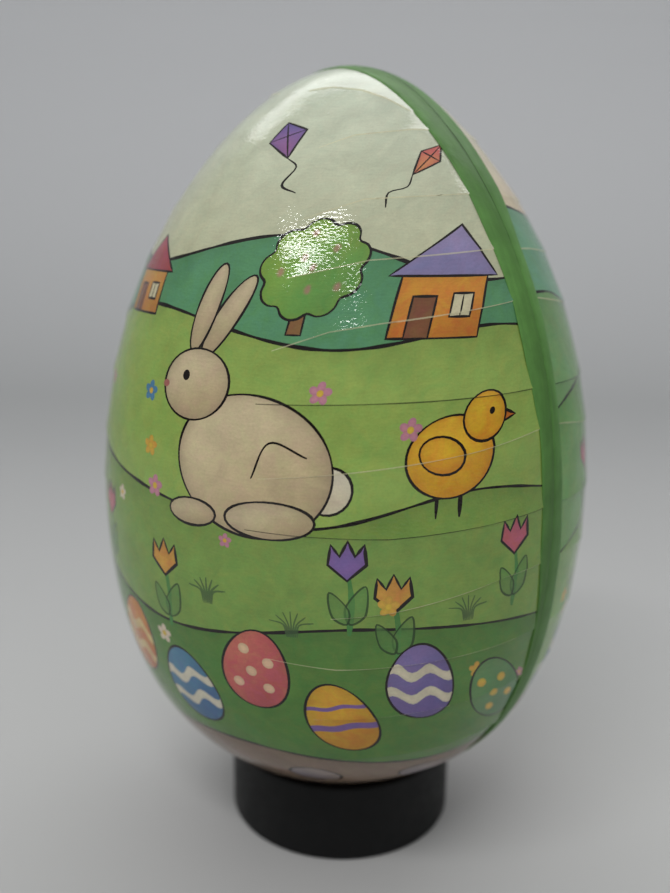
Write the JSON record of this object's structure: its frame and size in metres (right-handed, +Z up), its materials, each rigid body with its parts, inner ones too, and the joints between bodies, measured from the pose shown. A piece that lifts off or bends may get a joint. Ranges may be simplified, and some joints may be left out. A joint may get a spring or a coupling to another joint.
{
  "type": "two-part papier-mache filler egg on a ring stand",
  "caption": "Upright egg-shaped box of pressed board that splits lengthwise into halves over an inner collar, in printed glossy paper with green edging, standing in a plain black ring.",
  "frame": {"origin": "centre of the ring's underside, on the table", "axes": "+Z up along the egg's long axis, -Y towards the middle of the front half, the seam in the XZ plane"},
  "size_m": [0.103, 0.1022, 0.1625],
  "materials": {
    "printed_paper": "gloss",
    "green_edging": "gloss",
    "pressed_board": "matte",
    "lining_paper": "matte",
    "collar_card": "matte",
    "black_plastic": "satin"
  },
  "bodies": {
    "stand": {"stand_ring": "black_plastic"},
    "back_half": {"back_edging_strip": "green_edging", "back_print_paper": "printed_paper", "back_board_shell": "pressed_board", "back_lining_paper": "lining_paper", "inner_collar": "collar_card"},
    "front_half": {"front_edging_strip": "green_edging", "front_print_paper": "printed_paper", "front_board_shell": "pressed_board", "front_lining_paper": "lining_paper"}
  },
  "joints": [
    {"name": "egg_lift", "type": "slide", "parent": "stand", "child": "back_half", "axis": [0, 0, 1], "range_m": [0, 0.12]},
    {"name": "front_open", "type": "slide", "parent": "back_half", "child": "front_half", "axis": [0, -1, 0], "range_m": [0, 0.06]}
  ],
  "couplings": [
    {"joint": "front_open", "follows": "egg_lift", "ratio": 0.5}
  ]
}
